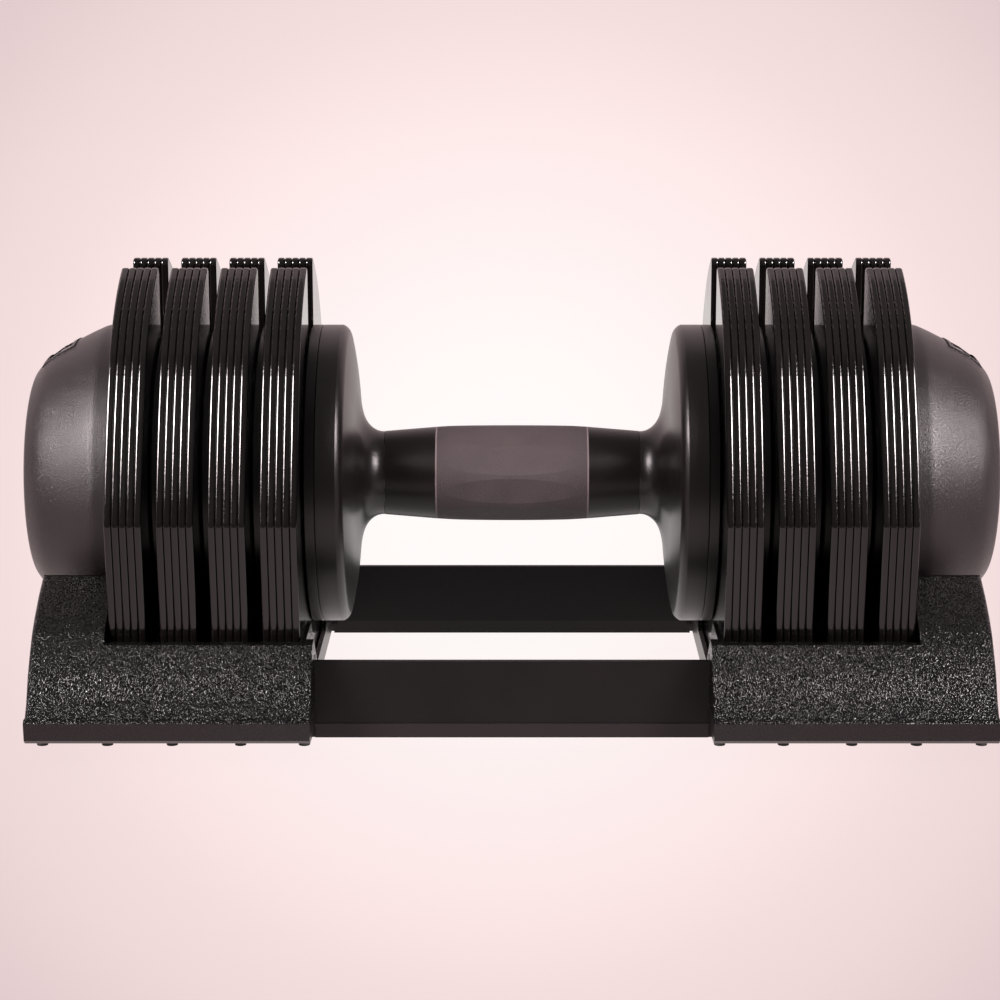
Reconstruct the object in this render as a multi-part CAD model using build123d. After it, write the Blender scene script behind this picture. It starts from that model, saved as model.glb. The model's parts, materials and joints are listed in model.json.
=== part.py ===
from build123d import *
import os
from math import cos, radians

os.makedirs("parts", exist_ok=True)

# ---------------------------------------------------------------- driving dimensions, mm
# The handle axis lies along X. Z is up from the table, Y runs from front to rear.
AXIS_Z = 90.0          # handle axis above the table

PLATES = 4             # plates on each side
PLATE_T = 14.4         # thickness of one plate
PLATE_PITCH = 19.8     # from one plate to the next
PLATE_X = 82.0         # inner face of the first plate
LAYERS = 5             # laminations in one plate
LAYER_EDGE_R = 0.8     # rounded edge of a lamination
HORN_Z = 86.8          # top of the plate above the axis
HORN_Y = 17.8          # half distance between the horn tips
SLOT_R = 13.8          # half width of the open slot
SHOULDER_Y = 86.9      # widest half width of the plate
SHOULDER_Z = -3.0      # height of that widest edge
FOOT_Y = 77.1          # half width at the bottom before rounding
PLATE_FOOT_Z = -80.0   # bottom of the plate below the axis
RIVET_R = 3.0
RIVETS = [(52.0, 22.0), (-52.0, 22.0), (50.0, -52.0), (-50.0, -52.0)]
LUG_R = 3.0            # lifting lug
LUG_OUT = 40.0         # lug distance below the axis
LUG_REACH = 2.4        # lug length out of the plate

HUB_R = 13.0           # outside of the turning hub sleeve
HUB_BORE = 9.0
BAR_R = 8.0            # fixed centre bar
BAR_END_R = 6.0
BUSH_GAP = 0.05        # running clearance of the bushes on the bar
TUBE_R = 15.0          # grip tube

GRIP_MID_R = 19.9      # barrel radius at the middle
GRIP_END_R = 17.2
GRIP_HALF = 52.0       # half length of the grip sleeve
BAND_HALF = 31.2       # half length of the grey band
BAND_EDGE_R = 18.9
BAND_DEPTH = 1.2
BAND_FLATS = 10        # shallow finger flats around the band
BAND_FLAT_R = 19.15    # distance of a flat from the axis

DISC_R = 60.9          # selector discs and flanges
DISC_T = 4.6
DISC_GAP = 0.4         # side clearance between a disc and a plate
GROOVE_IN = 36.5
GROOVE_OUT = 43.5
GROOVE_DEPTH = 2.8
STEP_DEG = 36.0        # one click of the handle
EXIT_HALF_DEG = 10.0   # half angle of the lug's way out

CAP_X = 157.6          # inboard edge of the end cap
CAP_R = 61.0
CAP_END_X = 194.6
CAP_RIM_BORE = 59.4
CLOSING_X = 156.3      # closing disc
CLOSING_T = 3.0
WINDOW_X0 = 178.6
WINDOW_X1 = 188.6
WINDOW_HALF = 9.0
WINDOW_RIM = 1.6       # width of the raised rim
COVER_X = 193.4        # seat of the end cover
COVER_R = 31.0
NUT_X = 187.0
BOSS_X = 180.0
END_WALL_X = 191.4

PIN_X = 162.6          # lock plunger
PIN_R = 2.0
PIN_TIP_R = 62.2       # how far the tip stands out from the axis
PIN_TOP_R = 24.5
COLLAR_R = 3.2
RING_X0 = 165.2        # lock ring of the number drum
RING_IN = 30.0
RING_OUT = 37.0
WEB_X0 = 168.2
WEB_X1 = 171.0

TRAY_X0 = 76.6         # inboard face of an end tray
TRAY_X1 = 185.0
WALL_X = 79.6          # end wall, set back between the skirts
WALL_T = 1.8
BLOCK_X = 156.8        # start of the raised end block
SADDLE_R = 62.5
TRAY_BASE = 6.2        # underside of the tray above the table
FLOOR_Z = 9.7          # well floor
WELL_TOP = 40.5
FOOT_XS = [80.5, 105.2, 131.7, 156.8, 182.0]
FEET_Y = 86.5
FOOT_R = 2.2

RAIL_Y = 80.0          # outer face of a rail
RAIL_T = 2.5
RAIL_Z0 = 1.0
RAIL_Z1 = 31.6
EAR_T = 2.4            # rail end lug
RAIL_SCREW_Y = 71.5
RAIL_SCREW_ZS = [14.0, 25.0]
SCREW_R = 1.8
SCREW_HEAD_R = 3.3

AXIS = Pos(0, 0, AXIS_Z)


# ---------------------------------------------------------------- helpers
def turned(points):
    """Solid of revolution about the handle axis from (x, r) corners."""
    face = make_face(Polyline(*points, close=True))
    return AXIS * revolve(face, Axis.X)


def turned_edges(edges):
    """The same from a closed chain of edges in the (x, r) plane."""
    return AXIS * revolve(make_face(edges), Axis.X)


def ring(x0, x1, r0, r1):
    return turned([(x0, r0), (x1, r0), (x1, r1), (x0, r1)])


def sector(x0, x1, r0, r1, a0, a1):
    """Part of a ring between two angles counted from +Y towards +Z."""
    face = make_face(Polyline((x0, r0), (x1, r0), (x1, r1), (x0, r1), close=True))
    return AXIS * (Rot(a0, 0, 0) * revolve(face, Axis.X, revolution_arc=a1 - a0))


def rod(x0, x1, r, y, z):
    """Round rod along X, with z above the table."""
    return Pos((x0 + x1) / 2, y, z) * (Rot(0, 90, 0) * Cylinder(r, x1 - x0))


def post(x, y, z0, z1, r):
    return Pos(x, y, (z0 + z1) / 2) * Cylinder(r, z1 - z0)


def block(x0, x1, y0, y1, z0, z1):
    return Pos((x0 + x1) / 2, (y0 + y1) / 2, (z0 + z1) / 2) * Box(x1 - x0, y1 - y0, z1 - z0)


def section(points, x0, x1):
    """Extrude a (y, z above the table) outline along X."""
    face = make_face(Polyline(*points, close=True))
    return Pos(x0, 0, 0) * extrude(Plane.YZ * face, x1 - x0)


def flip(shape):
    return mirror(shape, Plane.YZ)


def group(shapes):
    return Compound(children=list(shapes))


def save(name, shape):
    export_step(shape, f"parts/{name}.step")


def save_pair(name, shape, tail=""):
    """The right-hand piece and its mirror image on the left."""
    save(f"{name}_right{tail}", shape)
    save(f"{name}_left{tail}", flip(shape))


def plate_x(k):
    return PLATE_X + PLATE_PITCH * (k - 1)


# ---------------------------------------------------------------- weight plates
def layer_face():
    tip = (HORN_Y, HORN_Z)
    shoulder = (SHOULDER_Y, SHOULDER_Z)
    knee = (62.4, 50.6)
    crown = ThreePointArc(tip, (42.2, 73.4), knee)
    cheek = TangentArc(knee, shoulder, tangent=crown % 1)
    side = Line(shoulder, (FOOT_Y, PLATE_FOOT_Z))
    half = [crown, cheek, side]
    other = [mirror(edge, Plane.YZ) for edge in half]
    top = Line((-HORN_Y, HORN_Z), tip)
    bottom = Line((FOOT_Y, PLATE_FOOT_Z), (-FOOT_Y, PLATE_FOOT_Z))
    face = make_face(half + other + [top, bottom])
    slot = Pos(0, 60) * Rectangle(2 * SLOT_R, 120) + Circle(SLOT_R)
    face = face - slot
    tips = [v for v in face.vertices() if v.Y > HORN_Z - 0.01 and abs(v.X) < SLOT_R + 0.1]
    face = fillet(tips, 2.6)
    edges = [v for v in face.vertices() if abs(abs(v.X) - SHOULDER_Y) < 0.01]
    face = fillet(edges, 5.0)
    feet = [v for v in face.vertices() if v.Y < PLATE_FOOT_Z + 0.01]
    return fillet(feet, 20.0)


def layer():
    t = PLATE_T / LAYERS
    solid = extrude(Plane.YZ * layer_face(), t)
    rims = [f.outer_wire().edges() for f in solid.faces().filter_by(Axis.X)]
    solid = fillet([e for rim in rims for e in rim], LAYER_EDGE_R)
    for y, z in RIVETS:
        solid -= rod(-1, t + 1, RIVET_R, y, z)
    return solid - rod(-1, t + 1, LUG_R, 0, -LUG_OUT)


def plate(one, k):
    t = PLATE_T / LAYERS
    return group([Pos(plate_x(k) + t * i, 0, AXIS_Z) * one for i in range(LAYERS)])


def plate_rivets(k):
    x0 = plate_x(k)
    x1 = x0 + PLATE_T
    pieces = [rod(x0, x1, RIVET_R, y, AXIS_Z + z) for y, z in RIVETS]
    pieces.append(rod(x0 - LUG_REACH, x1, LUG_R, 0, AXIS_Z - LUG_OUT))
    return group(pieces)


# ---------------------------------------------------------------- the handle that turns
def selector_disc(k):
    x1 = plate_x(k) - DISC_GAP
    x0 = x1 - DISC_T
    c = 0.5
    rim = [(x0 + c, DISC_R), (x1 - c, DISC_R), (x1, DISC_R - c), (x1, HUB_R)]
    disc = turned([(x0, HUB_R), (x0, DISC_R - c)] + rim)
    disc -= ring(x1 - GROOVE_DEPTH, x1 + 1, GROOVE_IN, GROOVE_OUT)
    first_open = PLATES + 1 - k
    a0 = -90 + STEP_DEG * first_open - EXIT_HALF_DEG
    a1 = -90 + STEP_DEG * PLATES + EXIT_HALF_DEG
    return disc - sector(x1 - GROOVE_DEPTH, x1 + 1, GROOVE_OUT - 1, DISC_R + 2, a0, a1)


def flange():
    end = plate_x(1) - DISC_GAP - DISC_T
    neck = (GRIP_HALF + 0.2, GRIP_END_R - 0.1)
    brow = (66.2, 57.4)
    rim = (69.2, DISC_R)
    trumpet = Spline(neck, (56.6, 18.2), (59.6, 21.2), (61.8, 27.0), (62.8, 33.0), (63.6, 41.0),
                     (64.8, 50.0), brow)
    corner = TangentArc(brow, rim, tangent=trumpet % 1)
    chain = Polyline(rim, (end, DISC_R), (end, 57.4), (70.5, 57.4), (68.8, 55.4), (67.6, 50.0),
                     (66.4, 41.0), (65.6, 33.0), (65.4, 30.0), (65.4, 19.0), (end, 19.0),
                     (end, HUB_R), (62.0, HUB_R), (62.0, TUBE_R), (neck[0], TUBE_R), neck)
    return turned_edges([trumpet, corner] + chain.edges())


def grip_sleeve():
    ends = [(GRIP_HALF, GRIP_END_R), (46.0, 17.7), (38.0, 18.35), (BAND_HALF, BAND_EDGE_R)]
    right = Spline(*ends)
    left = mirror(right, Plane.YZ)
    low = BAND_EDGE_R - BAND_DEPTH
    floor = ThreePointArc((-BAND_HALF, low), (0, GRIP_MID_R - BAND_DEPTH), (BAND_HALF, low))
    steps = []
    for s in (-1, 1):
        steps.append(Line((s * BAND_HALF, BAND_EDGE_R), (s * BAND_HALF, low)))
        steps.append(Line((s * GRIP_HALF, GRIP_END_R), (s * GRIP_HALF, TUBE_R)))
    bore = Line((-GRIP_HALF, TUBE_R), (GRIP_HALF, TUBE_R))
    return turned_edges([right, left, floor, bore] + steps)


def grip_band():
    low = BAND_EDGE_R - BAND_DEPTH
    top = ThreePointArc((-BAND_HALF, BAND_EDGE_R), (0, GRIP_MID_R), (BAND_HALF, BAND_EDGE_R))
    floor = ThreePointArc((-BAND_HALF, low), (0, GRIP_MID_R - BAND_DEPTH), (BAND_HALF, low))
    sides = [Line((s * BAND_HALF, BAND_EDGE_R), (s * BAND_HALF, low)) for s in (-1, 1)]
    band = turned_edges([top, floor] + sides)
    corner = BAND_FLAT_R / cos(radians(180 / BAND_FLATS))
    flats = Plane.YZ * RegularPolygon(corner, BAND_FLATS, rotation=30)
    return band & (AXIS * (Pos(-BAND_HALF - 1, 0, 0) * extrude(flats, 2 * BAND_HALF + 2)))


def bushes():
    spans = [(36.0, 46.0), (158.5, WEB_X1)]
    right = [ring(x0, x1, BAR_R + BUSH_GAP, HUB_BORE) for x0, x1 in spans]
    return group(right + [flip(b) for b in right])


def weight_drum():
    outer = [(WEB_X0, 53.2), (171.0, 52.6), (176.0, 50.2), (182.0, 47.2), (186.0, 44.4),
             (188.6, 41.6)]
    inner = [(187.6, 40.4), (185.2, 42.6), (181.4, 45.0), (175.6, 47.9), (WEB_X1, 50.0)]
    hub = [(WEB_X1, 17.0), (WEB_X1, HUB_R), (RING_X0, HUB_R), (RING_X0, 17.0), (WEB_X0, 17.0)]
    drum = turned(outer + inner + hub)
    drum += ring(RING_X0, WEB_X0, RING_IN, RING_OUT)
    for s in range(PLATES + 1):
        notch = block(RING_X0 - 1, WEB_X0, -2.4, 2.4, AXIS_Z - 34.6, AXIS_Z - RING_IN + 1)
        turn = AXIS * Rot(STEP_DEG * s, 0, 0) * Pos(0, 0, -AXIS_Z)
        drum -= turn * notch
    return drum


# ---------------------------------------------------------------- the frame that does not turn
def centre_bar():
    half = COVER_X - 0.9
    step = BOSS_X
    return turned([(-half, 0), (-half, BAR_END_R), (-step, BAR_END_R), (-step, BAR_R),
                   (step, BAR_R), (step, BAR_END_R), (half, BAR_END_R), (half, 0)])


CAP_OUT = [(163.0, CAP_R), (167.2, 59.9), (171.9, 57.7), (177.6, 54.8), (183.9, 51.5),
           (188.9, 47.9), (192.4, 43.9)]
CAP_IN = [(190.0, 42.6), (187.1, 45.8), (182.5, 49.1), (176.4, 52.2), (170.8, 54.9),
          (166.4, 57.0), (162.4, 57.8)]


def cap_window(grow=0.0):
    side = WINDOW_HALF + grow
    return block(WINDOW_X0 - grow, WINDOW_X1 + grow, -side, side, AXIS_Z + 20, AXIS_Z + 70)


def shell(out, low):
    """Thin skin that follows the dome, from out to low along its slope."""
    upper = [(x + 0.5 * out, r + 0.87 * out) for x, r in CAP_OUT[1:]]
    lower = [(x + 0.5 * low, r + 0.87 * low) for x, r in reversed(CAP_OUT[1:])]
    return turned(upper + lower)


def end_cap():
    corner = (CAP_END_X, 37.0)
    dome = Spline(*CAP_OUT, corner, tangents=[(1, 0), (0.1, -1)])
    start = (CAP_X, CAP_R)
    chain = Polyline(corner, (CAP_END_X, COVER_R), (COVER_X, COVER_R), (COVER_X, 11.0),
                     (NUT_X, 11.0), (NUT_X, BAR_END_R), (BOSS_X, BAR_END_R), (BOSS_X, 14.0),
                     (END_WALL_X, 14.0), (END_WALL_X, 39.6), *CAP_IN, (CAP_X + 1.7, 57.8),
                     (CAP_X + 1.7, CAP_RIM_BORE), (CAP_X, CAP_RIM_BORE), start, CAP_OUT[0])
    cap = turned_edges([dome] + chain.edges())
    cap += shell(0.45, -1.0) & cap_window(WINDOW_RIM)
    for y, z in cap_screw_spots():
        cap += rod(CLOSING_X + CLOSING_T, 166.5, 3.4, y, AXIS_Z + z)
        cap -= rod(CLOSING_X, 165.6, 1.5, y, AXIS_Z + z)
    cap -= cap_window()
    return cap - post(PIN_X, 0, AXIS_Z - 70, AXIS_Z - 50, PIN_R + 0.06)


def cap_screw_spots():
    return [(s * 38.7, t * 38.7) for s in (-1, 1) for t in (-1, 1)]


def closing_disc():
    x1 = CLOSING_X + CLOSING_T
    disc = ring(CLOSING_X, x1, HUB_R + 0.4, CAP_RIM_BORE)
    for y, z in cap_screw_spots():
        disc -= rod(CLOSING_X - 1, CLOSING_X + 1.6, 3.0, y, AXIS_Z + z)
        disc -= rod(CLOSING_X, x1 + 1, 1.5, y, AXIS_Z + z)
    seat = block(x1, PIN_X + 3.4, -4, 4, AXIS_Z - 40.5, AXIS_Z - 38.5)
    seat -= post(PIN_X, 0, AXIS_Z - 45, AXIS_Z - 35, PIN_R + 0.06)
    return disc + seat


def closing_screws():
    right = []
    for y, z in cap_screw_spots():
        head = rod(CLOSING_X, CLOSING_X + 1.6, 3.0, y, AXIS_Z + z)
        right.append(head + rod(CLOSING_X + 1.6, 165.6, 1.5, y, AXIS_Z + z))
    return group(right + [flip(s) for s in right])


def end_nuts():
    nut = extrude(Plane.YZ * RegularPolygon(8.5, 6), 4.5)
    nut = AXIS * (Pos(NUT_X, 0, 0) * nut) - rod(BOSS_X, 200, BAR_END_R, 0, AXIS_Z)
    return group([nut, flip(nut)])


def end_cover():
    cover = rod(COVER_X, CAP_END_X, COVER_R, 0, AXIS_Z)
    for r0, r1 in ((24.0, 25.2), (0, 6.0)):
        cover -= ring(CAP_END_X - 0.5, CAP_END_X + 1, r0, r1)
    return cover


def window_lens():
    return shell(-0.6, -1.8) & cap_window()


def lock_plunger():
    tip = AXIS_Z - PIN_TIP_R
    pin = post(PIN_X, 0, tip, AXIS_Z - PIN_TOP_R, PIN_R)
    pin += post(PIN_X, 0, AXIS_Z - 50.0, AXIS_Z - 48.0, COLLAR_R)
    tooth = block(PIN_X, 167.6, -1.7, 1.7, AXIS_Z - 29.5, AXIS_Z - 25.5)
    return pin + tooth


def lock_spring():
    low = AXIS_Z - 47.7
    coil = Helix(pitch=1.7, height=6.6, radius=2.75)
    wire = Plane(origin=coil @ 0, z_dir=coil % 0) * Circle(0.3)
    return Pos(PIN_X, 0, low) * sweep(wire, path=coil, is_frenet=True)


# ---------------------------------------------------------------- the tray
SKIRT = [(98.6, TRAY_BASE), (107.0, 6.8), (109.2, 8.4), (109.8, 15.2), (108.6, 16.4),
         (107.4, 16.4), (102.6, 22.1), (97.4, 31.2), (91.3, 38.4), (85.2, 44.6), (78.2, 49.6),
         (67.4, 55.6), (57.6, 59.9)]


def both_sides(points):
    return points + [(-y, z) for y, z in reversed(points)]


def end_tray():
    tray = section(both_sides(SKIRT), TRAY_X0, TRAY_X1)
    corners = tray.faces().sort_by(Axis.X)[-1].outer_wire().edges()
    tray = fillet([e for e in corners if e.center().Z > 17 and abs(e.center().Y) > 50], 2.0)
    tray -= block(TRAY_X0 - 1, BLOCK_X, -120, 120, WELL_TOP, 80)
    tray -= rod(TRAY_X0 - 1, TRAY_X1 + 1, SADDLE_R, 0, AXIS_Z)
    well = [(60.0, FLOOR_Z), (70.0, 11.6), (76.0, 16.5), (80.2, 24.0), (84.4, WELL_TOP + 1)]
    cavity = section(both_sides(well), WALL_X + WALL_T, BLOCK_X)
    for k in range(1, PLATES):
        x = plate_x(k) + PLATE_T + (PLATE_PITCH - PLATE_T) / 2
        cavity -= block(x - 1.6, x + 1.6, -100, 100, 0, 36.0)
    tray -= cavity
    tray -= block(TRAY_X0 - 1, WALL_X, -RAIL_Y, RAIL_Y, 0, 60)
    notch = [(56.0, WELL_TOP + 1), (25.0, 16.0)]
    tray -= section(both_sides(notch), TRAY_X0, WALL_X + WALL_T + 0.1)
    pocket = [(89.0, 0), (97.0, 0), (105.4, 10.5), (105.0, 14.0), (99.0, 21.5), (94.2, 29.8), (89.6, 35.4)]
    for x0, x1 in zip(FOOT_XS[:-1], FOOT_XS[1:]):
        hollow = section(pocket, x0 + 5, x1 - 5)
        tray -= hollow
        tray -= mirror(hollow, Plane.XZ)
    under = block(BLOCK_X + 3, TRAY_X1 - 3, -80, 80, 0, 44) - rod(150, 190, SADDLE_R + 3, 0, AXIS_Z)
    tray -= under
    for side in (-1, 1):
        a = -90 + side * 24
        tray += sector(168, 176, 61.4, SADDLE_R + 1, a - 5, a + 5)
        for z in RAIL_SCREW_ZS:
            tray -= rod(TRAY_X0 - 1, WALL_X + WALL_T + 1, SCREW_R, side * RAIL_SCREW_Y, z)
    return tray


def rail():
    """The rear rail; the front one is its mirror image."""
    web = block(-WALL_X, WALL_X, RAIL_Y - RAIL_T, RAIL_Y, RAIL_Z0, RAIL_Z1)
    web += block(-TRAY_X0, TRAY_X0, RAIL_Y, RAIL_Y + 0.6, RAIL_Z0, RAIL_Z0 + 5.5)
    for side in (-1, 1):
        x0, x1 = sorted((side * WALL_X, side * (WALL_X - EAR_T)))
        ear = block(x0, x1, RAIL_Y - 14, RAIL_Y - RAIL_T, 8.0, 30.6)
        for z in RAIL_SCREW_ZS:
            ear -= rod(x0 - 1, x1 + 1, SCREW_R, RAIL_SCREW_Y, z)
        web += ear
    return web


def rail_screws():
    right = []
    head_x = WALL_X - EAR_T
    for y in (-RAIL_SCREW_Y, RAIL_SCREW_Y):
        for z in RAIL_SCREW_ZS:
            head = rod(head_x - 1.8, head_x, SCREW_HEAD_R, y, z)
            right.append(head + rod(head_x, WALL_X + WALL_T, SCREW_R, y, z))
    return group(right + [flip(s) for s in right])


def rubber_feet():
    right = [post(x, y, 0, TRAY_BASE, FOOT_R) for x in FOOT_XS for y in (-FEET_Y, FEET_Y)]
    return group(right + [flip(f) for f in right])


# ---------------------------------------------------------------- build
one_layer = layer()
for k in range(1, PLATES + 1):
    save_pair("plate", plate(one_layer, k), f"_{k}")
    save_pair("plate_rivets", plate_rivets(k), f"_{k}")
    save_pair("selector_disc", selector_disc(k), f"_{k}")

save("grip_tube", ring(-62.0, 62.0, HUB_R, TUBE_R))
save("grip_sleeve", grip_sleeve())
save("grip_band", grip_band())
save("bushes", bushes())
save_pair("flange", flange())
save_pair("hub_sleeve", ring(34.0, WEB_X1, HUB_BORE, HUB_R))
save_pair("weight_drum", weight_drum())

save("centre_bar", centre_bar())
save("closing_screws", closing_screws())
save("end_nuts", end_nuts())
save_pair("end_cap", end_cap())
save_pair("closing_disc", closing_disc())
save_pair("end_cover", end_cover())
save_pair("window_lens", window_lens())
save_pair("lock_spring", lock_spring())
save_pair("lock_plunger", lock_plunger())

tray = end_tray()
save("tray_right", tray)
save("tray_left", flip(tray))
save("rear_rail", rail())
save("front_rail", mirror(rail(), Plane.XZ))
save("rail_screws", rail_screws())
save("rubber_feet", rubber_feet())
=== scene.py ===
import json
import math

import bmesh
import bpy
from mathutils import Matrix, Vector


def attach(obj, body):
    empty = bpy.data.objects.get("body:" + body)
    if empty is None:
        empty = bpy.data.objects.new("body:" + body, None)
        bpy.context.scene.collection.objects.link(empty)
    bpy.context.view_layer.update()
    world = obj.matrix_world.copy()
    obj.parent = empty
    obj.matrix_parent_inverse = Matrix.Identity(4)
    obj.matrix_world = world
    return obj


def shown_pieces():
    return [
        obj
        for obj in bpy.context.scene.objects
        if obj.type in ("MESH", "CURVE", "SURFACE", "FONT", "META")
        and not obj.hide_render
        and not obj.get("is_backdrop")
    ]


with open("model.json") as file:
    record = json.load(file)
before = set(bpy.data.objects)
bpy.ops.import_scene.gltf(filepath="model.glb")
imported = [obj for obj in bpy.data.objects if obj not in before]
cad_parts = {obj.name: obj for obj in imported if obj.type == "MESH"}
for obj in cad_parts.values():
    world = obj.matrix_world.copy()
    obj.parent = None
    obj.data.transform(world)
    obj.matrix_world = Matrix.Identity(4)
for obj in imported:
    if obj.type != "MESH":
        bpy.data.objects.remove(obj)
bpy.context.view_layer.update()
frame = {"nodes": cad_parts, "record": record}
nodes = frame["nodes"]
scene = bpy.context.scene

AXIS_Z = 0.090
SIDES = (("left", -1), ("right", 1))
MM = 0.001

# The view: lens and sensor in mm, place in metres, tilt below the horizon in degrees.
CAMERA_PLACE = (0, -1.0756, 0.3090)
CAMERA_TILT = 12.1
CAMERA_LENS = 95.79
CAMERA_SENSOR = 36.0
CAMERA_SHIFT_X = -0.012
CAMERA_NEAR = 0.05

# The paper: a sweep with two side sheets, and a glow that fades away from one line of sight.
FLOOR_SPLIT_Y = -0.40              # in front of this line the paper isn't reflected
SWEEP_Y = 2.6                      # the floor starts to curve up here
SWEEP_RADIUS = 1.0
SWEEP_STEPS = 12
PAPER_HALF_WIDTH = 9.0
PAPER_TOP = 6.0
PAPER_NEAR_Y = -9.0
PAPER_SIDE_X = 8.9
PAPER_FROM = (-0.0045, -1.0756, 0.3090)
PAPER_SPREAD = 3.80
PAPER_GLOW = 0.97
PAPER_STOPS = [
    (0.16, (1.00, 0.965, 0.952)), (0.29, (0.995, 0.925, 0.910)), (0.43, (0.985, 0.865, 0.860)),
    (0.53, (0.980, 0.825, 0.820)), (0.63, (0.950, 0.775, 0.768)), (0.703, (0.900, 0.735, 0.730)),
    (0.82, (0.855, 0.690, 0.688)), (0.944, (0.790, 0.625, 0.630)), (1.0, (0.760, 0.600, 0.612)),
]


# ------------------------------------------------------------------ node graph helpers
MIX_A, MIX_B, MIX_RESULT = 6, 7, 2             # colour sockets of a Mix node


class Graph:
    """Small wrapper that builds one procedural material."""

    def __init__(self, name):
        self.mat = bpy.data.materials.new(name)
        self.mat.use_nodes = True
        self.tree = self.mat.node_tree
        self.tree.nodes.clear()
        self.out = self.add("ShaderNodeOutputMaterial")
        self.bsdf = self.add("ShaderNodeBsdfPrincipled")
        self.link(self.bsdf.outputs[0], self.out.inputs[0])
        self.coord = self.add("ShaderNodeTexCoord").outputs["Object"]

    def add(self, kind, **values):
        node = self.tree.nodes.new(kind)
        for key, value in values.items():
            setattr(node, key, value)
        return node

    def link(self, a, b):
        self.tree.links.new(a, b)

    def mapped(self, scale, rotation=(0, 0, 0)):
        node = self.add("ShaderNodeMapping")
        node.inputs["Scale"].default_value = scale
        node.inputs["Rotation"].default_value = rotation
        self.link(self.coord, node.inputs["Vector"])
        return node.outputs[0]

    def noise(self, scale, detail=3.0, rough=0.5, vector=None, distortion=0.0):
        node = self.add("ShaderNodeTexNoise")
        node.inputs["Scale"].default_value = scale
        node.inputs["Detail"].default_value = detail
        node.inputs["Roughness"].default_value = rough
        node.inputs["Distortion"].default_value = distortion
        self.link(vector or self.coord, node.inputs["Vector"])
        return node.outputs["Fac"]

    def voronoi(self, scale):
        node = self.add("ShaderNodeTexVoronoi", feature="F1")
        node.inputs["Scale"].default_value = scale
        node.inputs["Randomness"].default_value = 1.0
        self.link(self.coord, node.inputs["Vector"])
        return node.outputs["Distance"]

    def axis(self, name, vector=None):
        node = self.add("ShaderNodeSeparateXYZ")
        self.link(vector or self.coord, node.inputs[0])
        return node.outputs[name]

    def mix(self, fac, first, second):
        """Colour that goes from first at 0 to second at 1; each is a link or a constant."""
        node = self.add("ShaderNodeMix", data_type="RGBA")
        self.link(fac, node.inputs["Factor"])
        for place, value in ((MIX_A, first), (MIX_B, second)):
            if isinstance(value, tuple):
                node.inputs[place].default_value = (*value, 1.0)
            else:
                self.link(value, node.inputs[place])
        return node.outputs[MIX_RESULT]

    def ramp(self, fac, stops):
        node = self.add("ShaderNodeValToRGB")
        elements = node.color_ramp.elements
        while len(elements) < len(stops):
            elements.new(0.5)
        for element, (place, value) in zip(elements, stops):
            element.position = place
            rgb = value if isinstance(value, (tuple, list)) else (value, value, value)
            element.color = (*rgb, 1.0)
        self.link(fac, node.inputs["Fac"])
        return node.outputs["Color"]

    def math(self, op, a, b=None):
        node = self.add("ShaderNodeMath", operation=op)
        for i, value in enumerate((a, b)):
            if value is None:
                continue
            if isinstance(value, (int, float)):
                node.inputs[i].default_value = value
            else:
                self.link(value, node.inputs[i])
        return node.outputs[0]

    def bump(self, height, strength, distance, normal=None):
        node = self.add("ShaderNodeBump")
        node.inputs["Strength"].default_value = strength
        node.inputs["Distance"].default_value = distance
        self.link(height, node.inputs["Height"])
        if normal is not None:
            self.link(normal, node.inputs["Normal"])
        return node.outputs[0]

    def set(self, **values):
        names = {
            "base": "Base Color", "rough": "Roughness", "metal": "Metallic", "normal": "Normal",
            "spec": "Specular IOR Level", "ior": "IOR", "transmission": "Transmission Weight",
        }
        for key, value in values.items():
            socket = self.bsdf.inputs[names[key]]
            if isinstance(value, (int, float)):
                socket.default_value = value
            elif isinstance(value, tuple):
                socket.default_value = (*value, 1.0)
            else:
                self.link(value, socket)
        return self.mat


# ------------------------------------------------------------------ materials
def enamel():
    """Gloss black paint over pressed steel: slight orange peel and a little dust in the gloss."""
    g = Graph("plate_enamel")
    patch = g.noise(38.0, 4.0, 0.6)
    dust = g.noise(900.0, 2.0, 0.7)
    tone = g.ramp(patch, [(0.3, (0.0016, 0.0012, 0.0012)), (0.7, (0.0028, 0.0021, 0.0021))])
    rough = g.ramp(g.math("ADD", g.math("MULTIPLY", patch, 0.6), g.math("MULTIPLY", dust, 0.4)),
                   [(0.35, 0.08), (0.65, 0.15)])
    peel = g.bump(g.noise(520.0, 2.0, 0.5), 0.20, 0.00022)
    fine = g.bump(dust, 0.10, 0.00008, peel)
    return g.set(base=tone, rough=rough, normal=fine, spec=0.5)


def moulded(name, low, high, rough, grain, strength, depth=0.00008, spec=0.5, painted_reflection_foot=None):
    """Moulded plastic or paint with an even fine grain; the optional last argument is a height and the
    colour below it, painted lighter as a reflection of the pale floor.
    """
    g = Graph(name)
    rough_low, rough_high = rough
    cloud = g.noise(26.0, 3.0, 0.5)
    grit = g.noise(grain, 2.0, 0.7)
    cell = g.voronoi(grain * 1.1)
    tone = g.ramp(cloud, [(0.3, low), (0.7, high)])
    rough = g.ramp(g.math("ADD", g.math("MULTIPLY", cloud, 0.35), g.math("MULTIPLY", grit, 0.65)),
                   [(0.35, rough_low), (0.65, rough_high)])
    if painted_reflection_foot:
        # Below the given height the colour is swapped for a painted reflection of the pale floor.
        tone = g.mix(g.math("LESS_THAN", g.axis("Z"), painted_reflection_foot[0]), tone, painted_reflection_foot[1])
    first = g.bump(grit, strength, depth)
    second = g.bump(cell, strength * 0.6, depth, first)
    return g.set(base=tone, rough=rough, normal=second, spec=spec)


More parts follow.
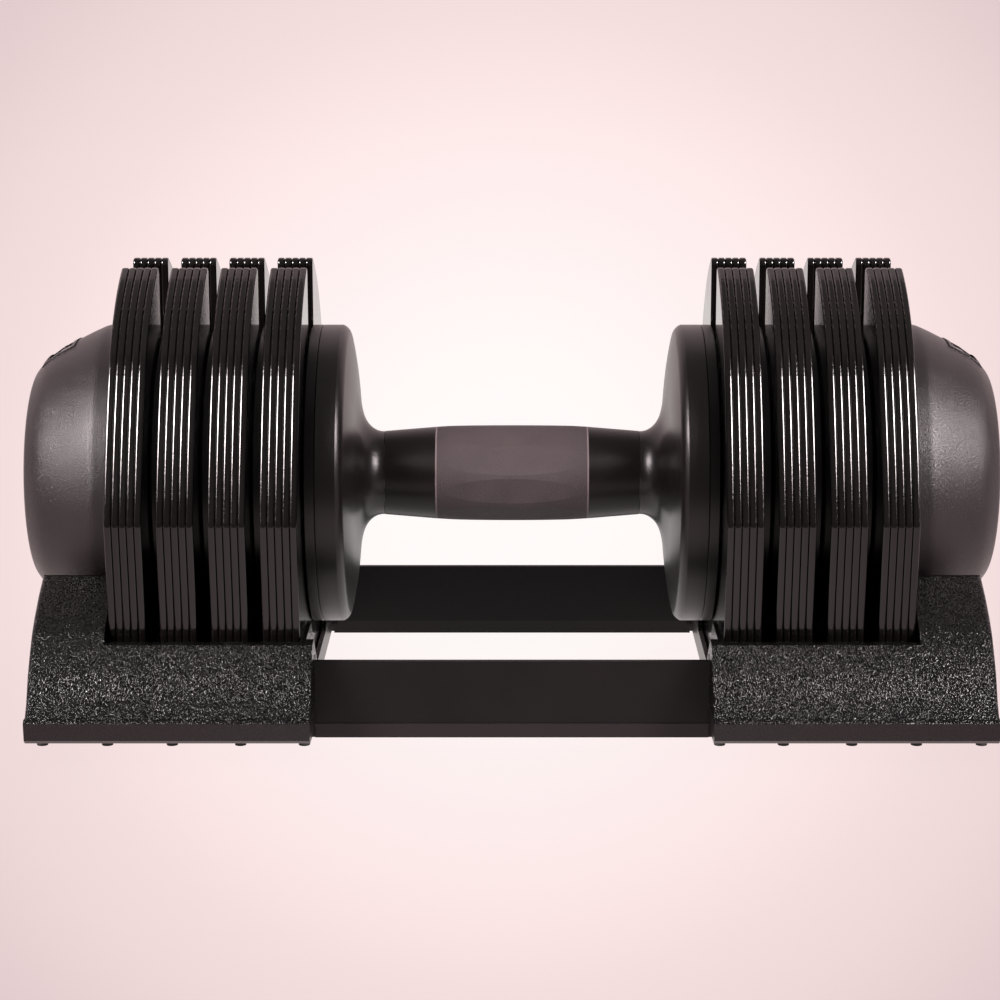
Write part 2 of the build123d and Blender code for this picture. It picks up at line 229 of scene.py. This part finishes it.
GRAIN_STRETCH = (1.0, 0.6, 0.48)
GRAIN_SLANT = 0.70                 # lean of the grain in radians, mirrored on the other tray
LIP_TOP = (0.0150, 0.0157)         # the grain starts between these heights
LIP_GRAIN = 0.06                   # what is left of the grain's depth on the lip
LIP_LEVEL = 0.47
# The lip colour is lighter than the grain: a painted reflection of the pale floor on the smooth lip.
LIP_PAINTED_FLOOR_REFLECTION = (0.0170, 0.0125, 0.0132)


def pebble(side, sign):
    """Tray plastic: a slanted hair-cell grain with shiny tops, and a smooth lip along the bottom whose
    lighter colour is a painted reflection of the pale floor.
    """
    g = Graph(f"tray_grain_{side}")
    slant = g.mapped(GRAIN_STRETCH, rotation=(0.0, -sign * GRAIN_SLANT, 0.0))
    hairs = g.noise(2650.0, 0.0, 0.5, vector=slant, distortion=0.2)
    pits = g.noise(1500.0, 2.0, 0.6)
    height = g.math("ADD", hairs, g.math("MULTIPLY", pits, 0.25))
    above_lip = g.add("ShaderNodeMapRange", interpolation_type="SMOOTHSTEP")
    above_lip.inputs["From Min"].default_value = LIP_TOP[0]
    above_lip.inputs["From Max"].default_value = LIP_TOP[1]
    above_lip.inputs["To Min"].default_value = LIP_GRAIN
    above_lip.inputs["To Max"].default_value = 1.0
    g.link(g.axis("Z"), above_lip.inputs["Value"])
    grained = above_lip.outputs[0]
    height = g.math("MULTIPLY", height, grained)
    tops = g.add("ShaderNodeMix", data_type="FLOAT")
    tops.inputs[2].default_value = LIP_LEVEL
    g.link(grained, tops.inputs[0])
    g.link(hairs, tops.inputs[3])
    hairs = tops.outputs[0]
    mottle = g.ramp(hairs, [(0.38, (0.0015, 0.0011, 0.0011)), (0.66, (0.009, 0.0068, 0.0068))])
    # On the lip the colour is the painted floor reflection; above it is the grain's own mottle.
    tone = g.mix(grained, LIP_PAINTED_FLOOR_REFLECTION, mottle)
    rough = g.ramp(hairs, [(0.38, 0.40), (0.62, 0.16)])
    shine = g.ramp(hairs, [(0.42, 0.10), (0.60, 1.0)])
    coarse = g.bump(height, 1.0, 0.00030)
    fine = g.bump(g.noise(2600.0, 2.0, 0.6), 0.2, 0.00005, coarse)
    return g.set(base=tone, rough=rough, normal=fine, spec=shine)


BAND_BORDER_X = 0.0306
BAND_BORDER_COLOUR = (0.15, 0.118, 0.122)


def grip_rubber():
    """Grey overmoulded band: fine matt grain, with a paler line at each end."""
    g = Graph("grip_band_grey")
    cloud = g.noise(60.0, 3.0, 0.5)
    grit = g.noise(1900.0, 3.0, 0.7)
    cell = g.voronoi(1500.0)
    tone = g.ramp(g.math("ADD", g.math("MULTIPLY", cloud, 0.4), g.math("MULTIPLY", grit, 0.6)),
                  [(0.3, (0.027, 0.0205, 0.0215)), (0.7, (0.056, 0.044, 0.046))])
    border = g.math("GREATER_THAN", g.math("ABSOLUTE", g.axis("X")), BAND_BORDER_X)
    tone = g.mix(border, tone, BAND_BORDER_COLOUR)
    rough = g.ramp(grit, [(0.3, 0.62), (0.7, 0.82)])
    one = g.bump(cell, 0.6, 0.00016)
    two = g.bump(grit, 0.4, 0.0001, one)
    return g.set(base=tone, rough=rough, normal=two, spec=0.35)


def metal(name, colour, rough, along=(1, 1, 1)):
    """Drawn or turned steel with fine tool lines, drawn out where along is small."""
    g = Graph(name)
    rough_low, rough_high = rough
    lines = g.noise(900.0, 4.0, 0.7, vector=g.mapped(along))
    cloud = g.noise(40.0, 3.0, 0.5)
    dark = tuple(c * 0.8 for c in colour)
    tone = g.ramp(cloud, [(0.3, dark), (0.7, colour)])
    rough = g.ramp(lines, [(0.3, rough_low), (0.7, rough_high)])
    return g.set(base=tone, rough=rough, metal=1.0, normal=g.bump(lines, 0.12, 0.00005))


def clear_lens():
    g = Graph("lens_clear")
    rough = g.ramp(g.noise(220.0, 2.0, 0.5), [(0.3, 0.02), (0.7, 0.06)])
    haze = g.bump(g.noise(90.0, 2.0, 0.5), 0.05, 0.00005)
    return g.set(base=(0.62, 0.60, 0.62), rough=rough, normal=haze, transmission=1.0, ior=1.45)


def paper_white():
    g = Graph("number_white")
    tone = g.ramp(g.noise(700.0, 2.0, 0.6), [(0.3, (0.60, 0.58, 0.58)), (0.7, (0.74, 0.72, 0.72))])
    rough = g.ramp(g.noise(500.0, 2.0, 0.6), [(0.3, 0.45), (0.7, 0.6)])
    return g.set(base=tone, rough=rough, normal=g.bump(g.noise(1500.0), 0.1, 0.00004))


# Colours are linear. Each pair is the range that the cloud or the grain moves between.
MOULDED = {
    "rivet_steel": {
        "name": "rivet_paint", "low": (0.006, 0.0045, 0.0044), "high": (0.009, 0.007, 0.0068),
        "rough": (0.22, 0.34), "grain": 700.0, "strength": 0.1,
    },
    "disc_black": {
        "name": "disc_satin", "low": (0.005, 0.0037, 0.0036), "high": (0.008, 0.006, 0.0058),
        "rough": (0.30, 0.42), "grain": 1300.0, "strength": 0.2,
    },
    "grip_black": {
        "name": "grip_satin", "low": (0.0030, 0.0022, 0.0022), "high": (0.0050, 0.0037, 0.0037),
        "rough": (0.28, 0.38), "grain": 2000.0, "strength": 0.3, "depth": 0.0001, "spec": 0.25,
    },
    "bush_nylon": {
        "name": "bush_nylon", "low": (0.62, 0.58, 0.50), "high": (0.72, 0.68, 0.60),
        "rough": (0.4, 0.55), "grain": 900.0, "strength": 0.1,
    },
    "cap_black": {
        "name": "cap_satin", "low": (0.0070, 0.0052, 0.0055), "high": (0.0102, 0.0077, 0.0081),
        "rough": (0.25, 0.36), "grain": 2300.0, "strength": 1.0, "depth": 0.00014,
    },
    "drum_dark": {
        "name": "drum_satin", "low": (0.016, 0.015, 0.015), "high": (0.024, 0.022, 0.022),
        "rough": (0.4, 0.5), "grain": 900.0, "strength": 0.15,
    },
    "closing_black": {
        "name": "closing_matt", "low": (0.008, 0.007, 0.007), "high": (0.012, 0.010, 0.010),
        "rough": (0.55, 0.7), "grain": 900.0, "strength": 0.2,
    },
    "cover_black": {
        "name": "cover_satin", "low": (0.0085, 0.0062, 0.0062), "high": (0.012, 0.009, 0.009),
        "rough": (0.3, 0.42), "grain": 1200.0, "strength": 0.3,
    },
    "rail_black": {
        "name": "rail_satin", "low": (0.0026, 0.0019, 0.0020), "high": (0.0044, 0.0032, 0.0035),
        "rough": (0.42, 0.55), "grain": 1600.0, "strength": 0.35, "depth": 0.00012, "spec": 0.20,
        # The lighter colour below 6.6 mm is a painted reflection of the pale floor on the rails' bottom
        # band.
        "painted_reflection_foot": (0.0066, (0.0135, 0.0100, 0.0106)),
    },
    "foot_rubber": {
        "name": "foot_rubber", "low": (0.014, 0.013, 0.013), "high": (0.020, 0.019, 0.019),
        "rough": (0.7, 0.85), "grain": 700.0, "strength": 0.3,
    },
}
# The flanges are of the cap's black plastic; this darker copy of it is painted shade, offsetting the light
# of both side boxes on them.
FLANGE_SHADED_COPY = {
    "name": "flange_satin", "low": (0.0028, 0.0020, 0.0021), "high": (0.0048, 0.0035, 0.0037),
    "rough": (0.27, 0.36), "grain": 2300.0, "strength": 0.3, "depth": 0.0001, "spec": 0.42,
}
METALS = {
    "inner_steel": {
        "name": "inner_steel", "colour": (0.56, 0.55, 0.54), "rough": (0.22, 0.42), "along": (0.03, 1, 1),
    },
    "hub_steel": {
        "name": "hub_oxide", "colour": (0.10, 0.095, 0.095), "rough": (0.3, 0.5), "along": (0.05, 1, 1),
    },
    "spring_steel": {"name": "spring_wire", "colour": (0.58, 0.57, 0.56), "rough": (0.2, 0.35)},
    "plunger_steel": {
        "name": "plunger_steel", "colour": (0.58, 0.57, 0.56), "rough": (0.18, 0.32), "along": (1, 1, 0.05),
    },
    "screw_steel": {"name": "screw_oxide", "colour": (0.09, 0.085, 0.085), "rough": (0.3, 0.5)},
}
MATS = {
    "plate_black_enamel": enamel(),
    "grip_grey": grip_rubber(),
    "lens_clear": clear_lens(),
    "tray_black": pebble("left", 1),
}
MATS.update({slot: moulded(**look) for slot, look in MOULDED.items()})
MATS.update({slot: metal(**look) for slot, look in METALS.items()})
tray_right_grain = pebble("right", -1)
flange_satin = moulded(**FLANGE_SHADED_COPY)
slot_of = {row["node"]: row["material_slot"] for row in frame["record"]["subparts"]}
for name, obj in nodes.items():
    material = MATS[slot_of[name]]
    if name == "tray_right":
        material = tray_right_grain
    # Flanges get the darker copy of the cap plastic, as painted shade.
    elif name.startswith("flange"):
        material = flange_satin
    if obj.material_slots:
        for held in obj.material_slots:
            held.material = material
    else:
        obj.data.materials.append(material)


# ------------------------------------------------------------------ numbers on the drums
# Lengths here and for the collars are in mm.
DRUM_EDGE = [(188.6, 41.6), (186.0, 44.4), (182.0, 47.2), (176.0, 50.2)]
DRUM_NUMBERS = ("50", "40", "30", "20", "10")
NUMBER_SIZE = 9.4
NUMBER_PROUD = 0.22
NUMBER_START = 3.4                 # distance of the baseline from the drum's outer edge
STEP_DEG = 36.0


def drum_point(run, lift):
    """A place on the drum: distance along its slope and height above it, as (x, r) in mm."""
    for (x0, r0), (x1, r1) in zip(DRUM_EDGE[:-1], DRUM_EDGE[1:]):
        length = math.hypot(x1 - x0, r1 - r0)
        if run <= length or (x1, r1) == DRUM_EDGE[-1]:
            t = run / length
            out = (r1 - r0) / length, -(x1 - x0) / length
            return x0 + (x1 - x0) * t + out[0] * lift, r0 + (r1 - r0) * t + out[1] * lift
        run -= length


def flat_number(text):
    """The outline of a number as a thin flat mesh, centred on its baseline."""
    curve = bpy.data.curves.new("number", "FONT")
    curve.body = text
    curve.size = NUMBER_SIZE
    curve.align_x = "CENTER"
    curve.extrude = NUMBER_PROUD / 2
    holder = bpy.data.objects.new("number", curve)
    scene.collection.objects.link(holder)
    bpy.context.view_layer.update()
    mesh = bpy.data.meshes.new_from_object(holder.evaluated_get(bpy.context.evaluated_depsgraph_get()))
    bpy.data.objects.remove(holder)
    bpy.data.curves.remove(curve)
    return mesh


def drum_numbers(side, sign, material):
    """The numbers of one drum, each wrapped round it at its own step of the handle."""
    bm = bmesh.new()
    for step, text in enumerate(DRUM_NUMBERS):
        flat = flat_number(text)
        first = len(bm.verts)
        bm.from_mesh(flat)
        bpy.data.meshes.remove(flat)
        bm.verts.ensure_lookup_table()
        for vert in bm.verts[first:]:
            x, r = drum_point(NUMBER_START + vert.co.y, vert.co.z + NUMBER_PROUD / 2)
            turn = math.radians(STEP_DEG * step) - sign * vert.co.x / r
            vert.co = (sign * x * MM, -r * math.sin(turn) * MM, r * math.cos(turn) * MM + AXIS_Z)
    if sign < 0:
        bmesh.ops.reverse_faces(bm, faces=bm.faces)
    mesh = bpy.data.meshes.new(f"drum_numbers_{side}")
    bm.to_mesh(mesh)
    bm.free()
    mesh.materials.append(material)
    piece = bpy.data.objects.new(f"drum_numbers_{side}", mesh)
    scene.collection.objects.link(piece)
    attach(piece, "handle")


white_print = paper_white()
for side, sign in SIDES:
    drum_numbers(side, sign, white_print)


# ------------------------------------------------------------------ rubber collars round the feet
FOOT_XS = (80.5, 105.2, 131.7, 156.8, 182.0)
FOOT_Y = 86.5
COLLAR = ((1.2, 2.2), (1.6, 2.6), (5.6, 4.9), (6.2, 5.2))      # height and radius
END_COLLAR_R = 3.0                 # the feet at the ends have less room
COLLAR_SIDES = 40


def foot_collars(side, sign, material):
    """Conical rubber collars round the feet of one tray."""
    bm = bmesh.new()
    for x in FOOT_XS:
        widest = END_COLLAR_R if x in (FOOT_XS[0], FOOT_XS[-1]) else COLLAR[-1][1]
        for y in (-FOOT_Y, FOOT_Y):
            rings = []
            for z, radius in COLLAR:
                r = min(radius, widest)
                ring = []
                for i in range(COLLAR_SIDES):
                    a = 2 * math.pi * i / COLLAR_SIDES
                    spot = (sign * x + r * math.cos(a), y + r * math.sin(a), z)
                    ring.append(bm.verts.new([c * MM for c in spot]))
                rings.append(ring)
            for low, high in zip(rings[:-1], rings[1:]):
                for i in range(COLLAR_SIDES):
                    j = (i + 1) % COLLAR_SIDES
                    bm.faces.new((low[i], low[j], high[j], high[i]))
            bm.faces.new(list(reversed(rings[0])))
            bm.faces.new(rings[-1])
    mesh = bpy.data.meshes.new(f"foot_collars_{side}")
    bm.to_mesh(mesh)
    bm.free()
    mesh.materials.append(material)
    piece = bpy.data.objects.new(f"foot_collars_{side}", mesh)
    scene.collection.objects.link(piece)
    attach(piece, "tray")


for side, sign in SIDES:
    foot_collars(side, sign, MATS["foot_rubber"])


# ------------------------------------------------------------------ floor, lights, camera
def paper():
    """Pale studio paper with a glow of its own, pinker and darker away from the middle."""
    g = Graph("studio_paper")
    offset = g.add("ShaderNodeVectorMath", operation="SUBTRACT")
    offset.inputs[1].default_value = PAPER_FROM
    g.link(g.coord, offset.inputs[0])
    turn = g.add("ShaderNodeVectorRotate", rotation_type="X_AXIS")
    turn.inputs["Angle"].default_value = math.radians(CAMERA_TILT)
    g.link(offset.outputs[0], turn.inputs["Vector"])
    deep = g.axis("Y", turn.outputs[0])
    across = g.math("DIVIDE", g.axis("X", turn.outputs[0]), deep)
    up = g.math("DIVIDE", g.axis("Z", turn.outputs[0]), deep)
    spread = g.math("SQRT", g.math("ADD", g.math("POWER", across, 2.0), g.math("POWER", up, 2.0)))
    behind = g.math("LESS_THAN", deep, 0.0)
    reach = g.math("MAXIMUM", g.math("MULTIPLY", spread, PAPER_SPREAD), behind)
    glow = g.ramp(reach, PAPER_STOPS)
    g.link(glow, g.bsdf.inputs["Emission Color"])
    g.bsdf.inputs["Emission Strength"].default_value = PAPER_GLOW
    tone = g.ramp(g.noise(3.0, 2.0, 0.5), [(0.3, (0.100, 0.092, 0.092)), (0.7, (0.104, 0.096, 0.096))])
    return g.set(base=tone, rough=0.9, spec=0.0, normal=g.bump(g.noise(400.0), 0.02, 0.0001))


def stage_sheet(name, rows, material, shiny):
    """Paper through pairs of corners; one that isn't shiny is left out of reflections."""
    mesh = bpy.data.meshes.new(name)
    bm = bmesh.new()
    strips = []
    for row in rows:
        strips.append([bm.verts.new(corner) for corner in row])
    for a, b in zip(strips[:-1], strips[1:]):
        bm.faces.new((a[0], a[1], b[1], b[0]))
    bm.normal_update()
    bm.to_mesh(mesh)
    bm.free()
    for poly in mesh.polygons:
        poly.use_smooth = True
    mesh.materials.append(material)
    sheet = bpy.data.objects.new(name, mesh)
    scene.collection.objects.link(sheet)
    sheet.visible_glossy = shiny
    sheet.visible_diffuse = shiny
    sheet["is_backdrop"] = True


def stage_floor():
    """A floor that sweeps up at the rear, its front part, and a sheet at each side."""
    material = paper()
    back_y = SWEEP_Y + SWEEP_RADIUS
    rear = [(FLOOR_SPLIT_Y, 0.0), (SWEEP_Y, 0.0)]
    for i in range(1, SWEEP_STEPS + 1):
        a = math.radians(90.0 * i / SWEEP_STEPS)
        rear.append((SWEEP_Y + SWEEP_RADIUS * math.sin(a), SWEEP_RADIUS - SWEEP_RADIUS * math.cos(a)))
    rear.append((back_y, PAPER_TOP))
    front = [(PAPER_NEAR_Y, PAPER_TOP), (PAPER_NEAR_Y, 0.0), (FLOOR_SPLIT_Y, 0.0)]
    for name, profile, shiny in (("studio_floor", rear, True), ("studio_floor_front", front, False)):
        corners = [[(x, y, z) for x in (-PAPER_HALF_WIDTH, PAPER_HALF_WIDTH)] for y, z in profile]
        stage_sheet(name, corners, material, shiny)
    for side, sign in SIDES:
        corners = [[(sign * PAPER_SIDE_X, y, z) for y in (PAPER_NEAR_Y, back_y)] for z in (0.0, PAPER_TOP)]
        stage_sheet(f"studio_side_{side}", corners, material, False)


def area(name, place, aim, width, height, power, colour):
    """A rectangular soft box at place that faces aim."""
    light = bpy.data.lights.new(name, "AREA")
    light.shape = "RECTANGLE"
    light.size = width
    light.size_y = height
    light.energy = power
    light.color = colour
    obj = bpy.data.objects.new(name, light)
    obj.location = place
    obj.rotation_euler = (Vector(aim) - Vector(place)).to_track_quat("-Z", "Y").to_euler()
    scene.collection.objects.link(obj)
    return obj


# Soft boxes of the right side, mirrored for the left: place, width, height, power, colour.
BOX_AIM = (0.10, 0, 0.12)
BOXES = {
    "side": ((0.98, -0.86, 0.96), 0.66, 0.58, 38.0, (1.0, 0.88, 0.89)),
    "cap": ((1.06, -0.79, 0.86), 0.50, 0.48, 52.0, (1.0, 0.89, 0.91)),
    "gloss": ((1.04, -0.79, 1.00), 0.85, 0.32, 72.0, (1.0, 0.93, 0.93)),
    "grain": ((0.98, -0.86, 0.96), 0.30, 0.30, 14.5, (1.0, 0.93, 0.93)),
}
TOP_BOX = ((0, 0.1, 2.2), (0, 0, 0.05), 3.2, 2.2, 3.2, (1.0, 0.90, 0.88))
AIR_COLOUR = (1.0, 0.93, 0.93)
AIR_STRENGTH = 0.12

stage_floor()
world = bpy.data.worlds.new("studio")
world.use_nodes = True
air = world.node_tree.nodes["Background"]
air.inputs["Color"].default_value = (*AIR_COLOUR, 1.0)
air.inputs["Strength"].default_value = AIR_STRENGTH
scene.world = world
lights = {}
for side, sign in SIDES:
    aim = (sign * BOX_AIM[0], *BOX_AIM[1:])
    for kind, (place, *rest) in BOXES.items():
        place = (sign * place[0], *place[1:])
        lights[f"{kind}_{side}"] = area(f"{kind}_box_{side}", place, aim, *rest)
area("top_box", *TOP_BOX)

camera_data = bpy.data.cameras.new("camera")
camera_data.lens = CAMERA_LENS
camera_data.sensor_width = CAMERA_SENSOR
camera_data.shift_x = CAMERA_SHIFT_X
camera_data.clip_start = CAMERA_NEAR
camera = bpy.data.objects.new("camera", camera_data)
camera.location = CAMERA_PLACE
camera.rotation_euler = (math.radians(90 - CAMERA_TILT), 0, 0)
scene.collection.objects.link(camera)
scene.camera = camera
scene.view_settings.view_transform = "Standard"


# ------------------------------------------------------------------ light linking
# Pieces of one half are lit only by that half's boxes; the others are lit by both side boxes.
ONE_SIDED = ("plate_", "selector_disc", "end_cap", "end_cover", "tray_")
OWN_BOXES = {
    "plate_": ("side", "gloss"),
    "end_cap": ("cap",),
    "end_cover": ("cap",),
    "tray_": ("grain",),
}
MIDDLE_X = 0.002                   # a piece that reaches less far past the middle isn't in that half

lit = {}
for name, light in lights.items():
    lit[name] = bpy.data.collections.new(f"lit_{name}")
    light.light_linking.receiver_collection = lit[name]
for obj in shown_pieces():
    xs = [(obj.matrix_world @ Vector(c)).x for c in obj.bound_box]
    kinds = ("side",)
    for start, own in OWN_BOXES.items():
        if obj.name.startswith(start):
            kinds = own
    for side, reach in (("left", -min(xs)), ("right", max(xs))):
        if reach > MIDDLE_X or not obj.name.startswith(ONE_SIDED):
            for kind in kinds:
                lit[f"{kind}_{side}"].objects.link(obj)
